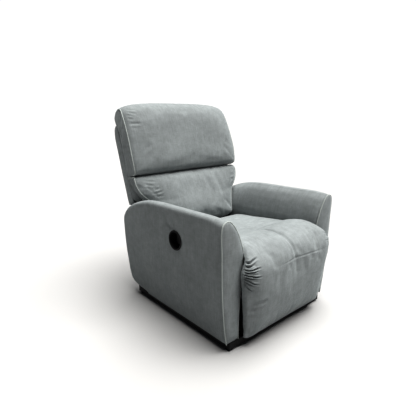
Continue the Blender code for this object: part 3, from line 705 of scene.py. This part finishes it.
# (forward, up) in the back's own frame, in the middle and at the side seams, then half the width
HEADREST = (
    ((-0.044, 0.340), (-0.044, 0.340), 0.355),
    ((0.000, 0.337), (-0.010, 0.339), 0.356),
    ((0.052, 0.3335), (0.030, 0.338), 0.359),
    ((0.085, 0.342), (0.052, 0.345), 0.364),
    ((0.099, 0.366), (0.059, 0.370), 0.368),
    ((0.105, 0.418), (0.065, 0.422), 0.371),
    ((0.108, 0.485), (0.065, 0.488), 0.370),
    ((0.110, 0.555), (0.060, 0.557), 0.368),
    ((0.108, 0.622), (0.051, 0.619), 0.366),
    ((0.094, 0.679), (0.036, 0.664), 0.361),
    ((0.056, 0.716), (0.014, 0.692), 0.352),
    ((0.002, 0.731), (-0.014, 0.704), 0.346),
    ((-0.036, 0.729), (-0.041, 0.705), 0.347),
    ((-0.060, 0.708), (-0.057, 0.690), 0.351),
    ((-0.067, 0.676), (-0.064, 0.668), 0.355),
    ((-0.062, 0.645), (-0.060, 0.644), 0.355),
    ((-0.044, 0.641), (-0.044, 0.641), 0.355),
    ((-0.044, 0.490), (-0.044, 0.490), 0.356),
)
LUMBAR = (
    ((-0.044, 0.035), (-0.044, 0.035), 0.256),
    ((0.014, 0.018), (0.000, 0.026), 0.257),
    ((0.074, 0.018), (0.032, 0.025), 0.260),
    ((0.099, 0.038), (0.046, 0.043), 0.266),
    ((0.102, 0.082), (0.048, 0.088), 0.272),
    ((0.100, 0.135), (0.050, 0.138), 0.284),
    ((0.093, 0.182), (0.048, 0.184), 0.303),
    ((0.087, 0.227), (0.044, 0.229), 0.345),
    ((0.082, 0.272), (0.042, 0.272), 0.366),
    ((0.076, 0.309), (0.041, 0.308), 0.369),
    ((0.060, 0.3275), (0.028, 0.326), 0.361),
    ((0.012, 0.336), (-0.008, 0.330), 0.358),
    ((-0.044, 0.334), (-0.044, 0.331), 0.356),
    ((-0.044, 0.262), (-0.044, 0.262), 0.355),
    ((-0.044, 0.212), (-0.044, 0.212), 0.351),
    ((-0.044, 0.190), (-0.044, 0.190), 0.312),
    ((-0.044, 0.166), (-0.044, 0.166), 0.272),
    ((-0.044, 0.100), (-0.044, 0.100), 0.260),
)


def inflate(pads):
    """Cloth simulation of all the pads together: some pressure inside, seams held, movement capped."""
    before = [coordinates(pad) for pad, *_ in pads]
    for pad, held, pressure, growth, _ in pads:
        group = pad.vertex_groups.new(name="seams")
        for weight in np.unique(held[held > 0]):
            group.add(np.flatnonzero(held == weight).tolist(), float(weight), "REPLACE")
        cloth = pad.modifiers.new("cloth", "CLOTH")
        cloth.settings.quality = 4
        cloth.settings.mass = 0.25
        cloth.settings.tension_stiffness = cloth.settings.compression_stiffness = 12
        cloth.settings.shear_stiffness = 6
        cloth.settings.bending_stiffness = 0.6
        cloth.settings.use_pressure = True
        cloth.settings.uniform_pressure_force = pressure
        cloth.settings.effector_weights.gravity = 0
        cloth.settings.vertex_group_mass = "seams"
        cloth.settings.shrink_min = -growth
        cloth.point_cache.frame_start, cloth.point_cache.frame_end = 1, 20
    for step in range(1, 21):
        bpy.context.scene.frame_set(step)
    graph = bpy.context.evaluated_depsgraph_get()
    for (pad, *_, cap), start in zip(pads, before):
        move = coordinates(pad.evaluated_get(graph)) - start
        far = np.linalg.norm(move, axis=1)
        move *= (np.minimum(far, cap * np.tanh(far / cap)) / np.maximum(far, 1e-9))[:, None]
        pad.modifiers.clear()
        pad.vertex_groups.clear()
        set_coordinates(pad, start + move)
    bpy.context.scene.frame_set(1)


def marked(pad, plane, facing, marks):
    """Presses creases into a pad where it faces one way. plane picks the two axes they are drawn in."""
    co, n = coordinates(pad), normals(pad)
    on = smoothstep(n @ np.array(facing, float), 0.05, 0.45)
    depth = creases(co[:, plane], marks, 0.85, 0.6)
    set_coordinates(pad, co - n * (depth * on)[:, None])


def held_points(pillow):
    """Seams along the sides hold hard, the hidden rear face too."""
    held = np.zeros(len(pillow.local))
    held[np.abs(np.abs(pillow.share) - 1) < 1e-6] = 1
    held[pillow.local[:, 1] > 0.036] = 1
    return held


HEAD_FRONT_MARKS = (
    (((-0.356, 0.600), (-0.325, 0.597), (-0.290, 0.593)), 0.007, 0.0042, 0.3),
    (((-0.352, 0.580), (-0.320, 0.572)), 0.009, 0.002, 0.3),
    (((-0.350, 0.668), (-0.325, 0.655), (-0.300, 0.650)), 0.006, 0.0032, 0.3),
    (((-0.345, 0.682), (-0.318, 0.676), (-0.290, 0.668)), 0.006, 0.003, 0.3),
    (((-0.352, 0.650), (-0.322, 0.638)), 0.006, 0.003, 0.3),
    (((-0.354, 0.632), (-0.330, 0.622)), 0.006, 0.0022, 0.3),
    (((-0.350, 0.355), (-0.335, 0.385)), 0.008, 0.0022, 0.3),
    (((0.350, 0.668), (0.325, 0.655)), 0.007, 0.0028, 0.3),
    (((0.356, 0.610), (0.322, 0.604)), 0.008, 0.0028, 0.3),
    (((0.352, 0.356), (0.330, 0.380)), 0.008, 0.0024, 0.3),
    (((-0.20, 0.352), (-0.12, 0.362), (-0.04, 0.356)), 0.012, 0.0018, 0.4),
    (((0.05, 0.352), (0.14, 0.364), (0.24, 0.356)), 0.012, 0.0018, 0.4),
)
HEAD_SIDE_MARKS = (
    (((-0.050, 0.470), (-0.020, 0.490), (0.030, 0.500)), 0.008, 0.0032, 0.3),
    (((-0.048, 0.440), (-0.015, 0.462)), 0.009, 0.0024, 0.3),
    (((-0.045, 0.600), (-0.010, 0.585), (0.035, 0.590)), 0.010, 0.0026, 0.3),
    (((-0.030, 0.655), (0.000, 0.630), (0.040, 0.625)), 0.009, 0.0024, 0.3),
    (((-0.045, 0.375), (-0.010, 0.385), (0.030, 0.375)), 0.010, 0.0026, 0.3),
)
LUMBAR_FRONT_MARKS = (
    (((-0.335, 0.300), (-0.300, 0.290), (-0.262, 0.285)), 0.007, 0.0034, 0.3),
    (((-0.335, 0.283), (-0.300, 0.268), (-0.272, 0.262)), 0.007, 0.0036, 0.3),
    (((-0.330, 0.264), (-0.300, 0.250), (-0.262, 0.252)), 0.007, 0.004, 0.3),
    (((-0.322, 0.246), (-0.290, 0.238), (-0.245, 0.246)), 0.007, 0.0046, 0.3),
    (((-0.310, 0.230), (-0.275, 0.222), (-0.235, 0.228)), 0.007, 0.0046, 0.3),
    (((-0.296, 0.216), (-0.265, 0.205), (-0.235, 0.206)), 0.007, 0.0036, 0.3),
    (((0.335, 0.300), (0.300, 0.290)), 0.008, 0.003, 0.3),
    (((0.330, 0.270), (0.295, 0.255)), 0.008, 0.0032, 0.3),
    (((0.316, 0.240), (0.280, 0.230)), 0.008, 0.0034, 0.3),
    (((0.030, 0.322), (0.062, 0.280), (0.080, 0.215), (0.082, 0.140), (0.072, 0.070)), 0.022, 0.0058, 0.3),
    (((0.118, 0.320), (0.150, 0.270), (0.166, 0.200), (0.168, 0.130)), 0.018, 0.005, 0.35),
    (((0.050, 0.250), (0.110, 0.170), (0.130, 0.080)), 0.020, 0.002, 0.4),
    (((-0.080, 0.318), (-0.070, 0.270), (-0.075, 0.220)), 0.024, 0.0018, 0.4),
)
LUMBAR_SIDE_MARKS = (
    (((-0.010, 0.320), (0.010, 0.290), (0.035, 0.270)), 0.009, 0.0022, 0.3),
    (((-0.015, 0.262), (0.010, 0.252), (0.035, 0.240)), 0.009, 0.002, 0.3),
)


def finish_pillow(pillow, front, side, seams, replaces):
    """Smooth, press the creases, add piping on the side seams, and lean with the back."""
    pad = pillow.obj
    piping = []
    for edge in (-1, 1):
        line = coordinates(pad)[np.abs(pillow.share - edge) < 1e-6][seams[0] : seams[1]]
        piping.append(line + np.array((edge * 0.001, 0, 0)))
    subdivided(pad)
    marked(pad, [0, 2], (0, -1, 0), front)
    marked(pad, [1, 2], (-1, 0, 0), side)
    marked(pad, [1, 2], (1, 0, 0), [(np.array(p) + (0.006, -0.012), *rest) for p, *rest in side])
    co = coordinates(pad)
    n = normals(pad)
    co += n * (0.001 * wander(co, 9.0, 31) + 0.0005 * wander(co, 38.0, 33))[:, None]
    set_coordinates(pad, co)
    pad.data.transform(BACK)
    dress(pad, "back", replaces=replaces)
    for word, line in zip(("right", "left"), piping):
        cord = tube(f"{pad.name}_piping_{word}", spline(line[::2], 90), PIPING)
        cord.data.transform(BACK)
        dress(cord, "back", "piping")


# ---- seat and footrest: one continuous padded piece ---------------------------------------------------
# (y, z) of the puffed top and of the inner skin, then how far edge and valley sink, and half the width
CHAISE = (
    ((0.205, 0.361), (0.205, 0.346), (0.003, 0.000, 0.238)),
    ((0.200, 0.366), (0.201, 0.342), (0.004, 0.000, 0.242)),
    ((0.172, 0.370), (0.174, 0.339), (0.005, 0.001, 0.252)),
    ((0.159, 0.378), (0.161, 0.338), (0.005, 0.002, 0.260)),
    ((0.153, 0.396), (0.155, 0.3372), (0.005, 0.003, 0.265)),
    ((0.120, 0.405), (0.120, 0.337), (0.004, 0.003, 0.267)),
    ((0.050, 0.412), (0.050, 0.337), (0.004, 0.004, 0.268)),
    ((-0.050, 0.423), (-0.050, 0.337), (0.004, 0.005, 0.268)),
    ((-0.120, 0.431), (-0.120, 0.337), (0.005, 0.006, 0.268)),
    ((-0.190, 0.440), (-0.190, 0.337), (0.006, 0.007, 0.268)),
    ((-0.245, 0.452), (-0.240, 0.3375), (0.010, 0.010, 0.268)),
    ((-0.290, 0.469), (-0.275, 0.342), (0.017, 0.016, 0.268)),
    ((-0.330, 0.478), (-0.310, 0.364), (0.021, 0.020, 0.268)),
    ((-0.370, 0.479), (-0.350, 0.390), (0.022, 0.021, 0.268)),
    ((-0.410, 0.471), (-0.392, 0.416), (0.022, 0.020, 0.271)),
    ((-0.445, 0.453), (-0.424, 0.424), (0.022, 0.018, 0.284)),
    ((-0.472, 0.427), (-0.446, 0.406), (0.023, 0.017, 0.294)),
    ((-0.486, 0.400), (-0.452, 0.382), (0.027, 0.014, 0.304)),
    ((-0.488, 0.378), (-0.450, 0.358), (0.030, 0.009, 0.309)),
    ((-0.4885, 0.350), (-0.440, 0.342), (0.031, 0.006, 0.309)),
    ((-0.487, 0.310), (-0.426, 0.315), (0.030, 0.004, 0.304)),
    ((-0.482, 0.260), (-0.4225, 0.260), (0.025, 0.003, 0.298)),
    ((-0.475, 0.200), (-0.4225, 0.200), (0.020, 0.002, 0.292)),
    ((-0.465, 0.130), (-0.4225, 0.130), (0.016, 0.001, 0.286)),
    ((-0.455, 0.075), (-0.4225, 0.075), (0.012, 0.000, 0.2815)),
    ((-0.448, 0.053), (-0.4225, 0.056), (0.009, 0.000, 0.2795)),
    ((-0.438, 0.0455), (-0.4228, 0.049), (0.004, 0.000, 0.2785)),
)
# the small folds gathered at the sides of the roll: height, angle in degrees, length and depth
GATHERS = (
    (0.441, 68, 0.050, 0.0044),
    (0.430, 50, 0.072, 0.0083),
    (0.421, 44, 0.050, 0.0068),
    (0.409, 27, 0.078, 0.0096),
    (0.401, 21, 0.046, 0.0068),
    (0.391, 5, 0.070, 0.0099),
    (0.384, 1, 0.052, 0.007),
    (0.372, -17, 0.072, 0.0101),
    (0.364, -20, 0.044, 0.0073),
    (0.353, -38, 0.064, 0.0091),
    (0.343, -42, 0.042, 0.006),
    (0.330, -60, 0.054, 0.0057),
)


class Chaise:
    """The long cushion of seat and footrest. Its rings lie across it, from under the back to its hem."""

    def __init__(self, stations=156, half=31, under=15, boxed=4):
        outer, inner, shape = paired(list(zip(*CHAISE)), 600)
        run = lengths_along(outer)
        dense = 1 + 4.0 * smoothstep(-outer[:, 0], 0.42, 0.46) * smoothstep(outer[:, 1], 0.26, 0.31)
        spread = np.concatenate([[0], np.cumsum(dense[1:] * np.diff(run))])
        at = np.interp(np.linspace(0, spread[-1], stations), spread, run)
        outer, inner, shape = (read(table, run, at) for table in (outer, inner, shape))
        t = np.linspace(-1, 1, 2 * half + 1)
        u = 0.45 * t + 0.55 * np.sin(t * math.pi / 2)
        rows, valley, bottom = [], [], []
        along = np.gradient(outer, axis=0)
        along /= np.linalg.norm(along, axis=1)[:, None]
        inward = np.stack([-along[:, 1], along[:, 0]], 1)
        inward *= np.sign(((inner - outer) * inward).sum(1))[:, None]
        seam_row = int(np.argmin(np.abs(outer[:, 1] - SEAM_HEIGHT) + (outer[:, 0] > -0.46)))
        for k, (out, below, (drop, dip, reach)) in enumerate(zip(outer, inner, shape)):
            from_crest = np.abs((np.abs(u) - 0.5) / 0.5)
            sink = np.where(
                np.abs(u) < 0.5,
                dip * (1 - np.clip(1 - from_crest**2.4, 0, 1) ** 0.72),
                drop * (1 - np.clip(1 - from_crest**3.0, 0, 1) ** 0.55),
            )
            top = out + inward[k] * sink[:, None]
            x = u * reach
            ring = [np.column_stack([x, top])]
            edge, rim = top[-1], below.copy()
            if out[0] < -0.44:
                rim[0] = max(rim[0], -0.4235)
            for sign in (1, -1):
                w = np.linspace(0, 1, boxed + 2)[1:-1]
                w = w if sign > 0 else w[::-1]
                wall = edge + w[:, None] * (rim - edge)
                swell = 0.004 * np.sin(w * math.pi) - 0.004 * w
                ring.append(np.column_stack([sign * (reach + swell), wall]))
                if sign > 0:
                    low = np.linspace(1, -1, under)
                    back = below + smoothstep(np.abs(low), 0.80, 0.90)[:, None] * (rim - below)
                    ring.append(np.column_stack([low * (reach - 0.006), back]))
            rows.append(np.vstack(ring))
            size = len(rows[-1])
            index = np.arange(size)
            valley.append((index == half) & (out[0] < -0.27) & (k <= seam_row))
            bottom.append((index >= len(u) + boxed) & (index < len(u) + boxed + under))
        points = np.vstack(rows)
        uv = np.column_stack([points[:, 0], np.repeat(at, size)])
        self.obj = add_mesh("seat_and_footrest_cushion", points, ring_faces(stations, size), uv)
        ends = np.tile((np.arange(size) == 0) | (np.arange(size) == len(u) - 1), stations)
        self.held = np.where(np.concatenate(bottom) | np.concatenate(valley) | ends, 1.0, 0.0)
        self.held[:size] = self.held[-size:] = 1
        self.held[points[:, 1] > -0.235] = 1


# folds as (x, z) on the front and as (x, y) on the seat, each with its width, depth and taper
FRONT_FOLDS = (
    (((-0.286, 0.232), (-0.262, 0.228), (-0.225, 0.232), (-0.19, 0.236)), 0.008, 0.0042, 0.3),
    (((-0.286, 0.205), (-0.255, 0.198)), 0.010, 0.0018, 0.3),
    (((0.286, 0.240), (0.262, 0.236), (0.225, 0.240)), 0.008, 0.0036, 0.3),
    (((0.010, 0.366), (0.006, 0.330), (0.000, 0.290)), 0.010, 0.0028, 0.35),
    (((-0.045, 0.364), (-0.050, 0.325)), 0.012, 0.0022, 0.35),
    (((0.060, 0.366), (0.062, 0.320), (0.055, 0.285)), 0.013, 0.0026, 0.35),
    (((0.115, 0.368), (0.120, 0.335)), 0.012, 0.002, 0.35),
    (((-0.110, 0.362), (-0.125, 0.300), (-0.130, 0.240)), 0.018, 0.0024, 0.35),
    (((-0.030, 0.270), (-0.035, 0.200)), 0.022, 0.0014, 0.4),
    (((0.170, 0.360), (0.175, 0.310)), 0.014, 0.0018, 0.35),
)
SEAT_FOLDS = (
    (((-0.255, -0.225), (-0.16, -0.232), (-0.06, -0.222)), 0.016, 0.003, 0.3),
    (((-0.10, -0.120), (-0.02, -0.150), (0.06, -0.140)), 0.014, 0.003, 0.3),
    (((0.02, -0.180), (0.10, -0.165), (0.18, -0.180)), 0.014, 0.0028, 0.3),
    (((0.06, -0.060), (0.14, -0.080), (0.22, -0.070)), 0.016, 0.0026, 0.3),
    (((-0.18, -0.040), (-0.10, -0.060), (-0.03, -0.050)), 0.018, 0.0024, 0.35),
    (((0.10, 0.040), (0.18, 0.030)), 0.016, 0.002, 0.35),
    (((0.255, -0.222), (0.16, -0.226), (0.06, -0.215)), 0.016, 0.0026, 0.3),
)


def gathers(flat):
    """Depth of the small folds that fan out from both ends of the roll, weaker on the sitter's left."""
    depth = np.zeros(len(flat))
    for sign, strength in ((-1, 1.0), (1, 0.35)):
        for height, angle, reach, deep in GATHERS:
            bend = math.radians(angle)
            a = np.array((sign * 0.308, height))
            mid = a + reach * 0.5 * np.array((-sign * math.cos(bend), math.sin(bend)))
            b = a + reach * np.array((-sign * math.cos(bend * 0.75), math.sin(bend * 0.75)))
            gap, where = path_distance(flat, spline((a, mid, b), 10))
            fade = strength * (1 - smoothstep(where, 0.35, 1.0))
            q = gap / (0.0019 + 0.0014 * where)
            depth += fade * deep * (np.exp(-(q**2)) - 0.42 * np.exp(-((q - 2.1) ** 2) / 1.1))
    return depth


def finish_chaise(chaise):
    """Smooth, press in the seam, the valley, the gathers and the folds."""
    pad = chaise.obj
    subdivided(pad)
    co, n = coordinates(pad), normals(pad)
    front = smoothstep(-co[:, 1], 0.43, 0.455) * smoothstep(-n[:, 1], -0.2, 0.3)
    top = smoothstep(n[:, 2], 0.2, 0.6)
    flat = co[:, [0, 2]]
    across = np.linspace(-0.16, SEAT_HALF_WIDTH, 40)
    drop = 0.004 + SEAM_DROP * (np.maximum(across, 0) / SEAT_HALF_WIDTH) ** 2
    depth = front * crease(flat, np.column_stack([across, SEAM_HEIGHT - drop]), 0.0042, 0.002, 0.35, 0.0)
    valley = np.abs(co[:, 0])
    groove = 0.0036 * np.exp(-((valley / 0.0042) ** 2))
    groove -= 0.001 * np.exp(-(((valley - 0.014) / 0.008) ** 2))
    crest = smoothstep(-co[:, 1], 0.235, 0.300)
    crest *= smoothstep(co[:, 2], SEAM_HEIGHT - 0.012, SEAM_HEIGHT + 0.006)
    depth += crest * groove + front * (gathers(flat) + creases(flat, FRONT_FOLDS))
    depth += top * creases(co[:, :2], SEAT_FOLDS)
    ripples = 0.0011 * wander(co * np.array((1.0, 1.6, 1.0)), 11.0, 41) + 0.0005 * wander(co, 42.0, 43)
    set_coordinates(pad, co - n * (depth - ripples)[:, None])
    dress(pad, None, replaces=["seat_cushion", "seat_front_roll", "footrest_pad"])
    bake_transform(pad)


# ---- outside back and rear apron ----------------------------------------------------------------------
# (x, height) of half the edge, from the middle of the foot round to the middle of the top
BACK_OUTLINE = (
    (0.0, 0.0015), (0.150, 0.0015), (0.235, 0.002), (0.256, 0.008), (0.260, 0.025), (0.2602, 0.100),
    (0.2602, 0.160), (0.267, 0.183), (0.290, 0.190), (0.340, 0.1902), (0.3545, 0.1925), (0.359, 0.204),
    (0.359, 0.290), (0.359, 0.400), (0.359, 0.500), (0.359, 0.590), (0.3575, 0.618), (0.348, 0.633),
    (0.330, 0.637), (0.250, 0.6375), (0.120, 0.6375), (0.0, 0.6375),
)
APRON_OUTLINE = (
    (0.0, 0.045), (0.180, 0.045), (0.284, 0.045), (0.2952, 0.049), (0.296, 0.060), (0.293, 0.120),
    (0.288, 0.200), (0.281, 0.290), (0.2785, 0.300), (0.270, 0.3035), (0.160, 0.304), (0.0, 0.304),
)


def upholstered_shell(name, outline, heart, profile, size=200):
    """A covered board. profile lists how far in from the outline, at what depth, each ring lies."""
    half = spline(outline, size // 2 + 1)
    heart = np.array(heart)
    loop = np.vstack([half, half[-2:0:-1] * (-1, 1)])
    ahead = np.roll(loop, -1, 0) - np.roll(loop, 1, 0)
    out = np.stack([ahead[:, 1], -ahead[:, 0]], 1) / np.linalg.norm(ahead, axis=1)[:, None]
    rings = []
    for inset, depth in profile:
        shrink = 1 - np.clip(inset - 0.008, 0, 0.012) / 0.3
        shrink *= 1 - max(inset - 0.02, 0)
        flat = heart + (loop - out * min(inset, 0.008) - heart) * shrink
        rings.append(np.column_stack([flat[:, 0], np.full(len(flat), depth), flat[:, 1]]))
    points = np.vstack(rings)
    return add_mesh(name, points, ring_faces(len(rings), len(loop)), points[:, [0, 2]])


def puff(points, half, span, height):
    """How far a padded panel bulges, from nothing at its edges to height in the middle."""
    x = np.clip(np.abs(points[:, 0]) / half, 0, 1)
    z = np.clip(2 * (points[:, 2] - span[0]) / (span[1] - span[0]) - 1, -1, 1)
    return height * (1 - x**2) * (1 - z**2)


def make_outside_back():
    """A shallow tray whose floor is the chair's outside back, with a raised seam round its edge."""
    profile = [(0.97, 0.084), (0.70, 0.084), (0.30, 0.0845), (0.06, 0.085), (0.020, 0.085)]
    profile += [(0.0125, 0.0835), (0.011, 0.080), (0.0105, 0.060), (0.010, 0.0485), (0.0085, 0.0462)]
    profile += [(0.005, 0.0452)]
    profile += [(0.0018, 0.0458), (0.0004, 0.048), (0.0, 0.054), (-0.0008, 0.068), (0.0, 0.082)]
    profile += [(0.0002, 0.0888), (0.0016, 0.0905), (0.0002, 0.0922), (0.0012, 0.0965), (0.005, 0.100)]
    profile += [(0.011, 0.1018)]
    profile += [(inset, 0.1024) for inset in (0.020, 0.05, 0.12, 0.26, 0.45, 0.70, 0.90, 0.99)]
    shell = upholstered_shell("outside_back_cover", BACK_OUTLINE, (0.0, 0.320), profile)
    co, n = coordinates(shell), normals(shell)
    co[:, 1] = 0.045 + (co[:, 1] - 0.045) * (1 - 0.42 * np.clip((co[:, 2] - 0.56) / 0.078, 0, 1) ** 1.3)
    rear = smoothstep(co[:, 1], 0.055, 0.095)
    hollow = 0.007 * (1 - smoothstep(co[:, 2], 0.08, 0.24))
    co[:, 1] += rear * (puff(co, 0.260, (0.0, 0.640), 0.008) - hollow)
    co += n * (0.0012 * wander(co, 6.0, 51))[:, None] * smoothstep(co[:, 1], 0.085, 0.100)[:, None]
    set_coordinates(shell, co)
    shell.data.transform(BACK)
    dress(shell, "back", replaces=["back_panel"])


def make_apron():
    """The padded board that closes the rear between the arms."""
    profile = [(inset, 0.3224) for inset in (0.97, 0.50, 0.05, 0.012)]
    profile += [(0.003, 0.3226), (0.0004, 0.3245), (0.0, 0.330), (0.0002, 0.3378), (0.0016, 0.3392)]
    profile += [(0.0004, 0.3406), (0.0014, 0.3428), (0.005, 0.3444), (0.012, 0.3452)]
    profile += [(inset, 0.3456) for inset in (0.02, 0.08, 0.25, 0.55, 0.95)]
    shell = upholstered_shell("rear_apron_cover", APRON_OUTLINE, (0.0, 0.175), profile, 160)
    co, n = coordinates(shell), normals(shell)
    rear = smoothstep(co[:, 1], 0.341, 0.345)
    co[:, 1] += rear * puff(co, 0.296, (0.045, 0.306), 0.003)
    co += n * (0.0008 * wander(co, 7.0, 61) * rear)[:, None]
    set_coordinates(shell, co)
    dress(shell, "base", replaces=["rear_apron"])


# ---- everything ---------------------------------------------------------------------------------------
make_camera()
make_stage()
make_materials()
make_arms()
headrest, lumbar = Pillow("headrest_cushion", HEADREST, 3.6), Pillow("lumbar_cushion", LUMBAR)
chaise = Chaise()
inflate(
    [
        (headrest.obj, held_points(headrest), 3.0, 0.0, 0.0022),
        (lumbar.obj, held_points(lumbar), 4.0, 0.004, 0.016),
        (chaise.obj, chaise.held, 4.0, 0.012, 0.022),
    ]
)
finish_pillow(headrest, HEAD_FRONT_MARKS, HEAD_SIDE_MARKS, (8, 62), ["headrest_pad"])
finish_pillow(lumbar, LUMBAR_FRONT_MARKS, LUMBAR_SIDE_MARKS, (14, 70), ["lumbar_pad"])
finish_chaise(chaise)
make_outside_back()
make_apron()
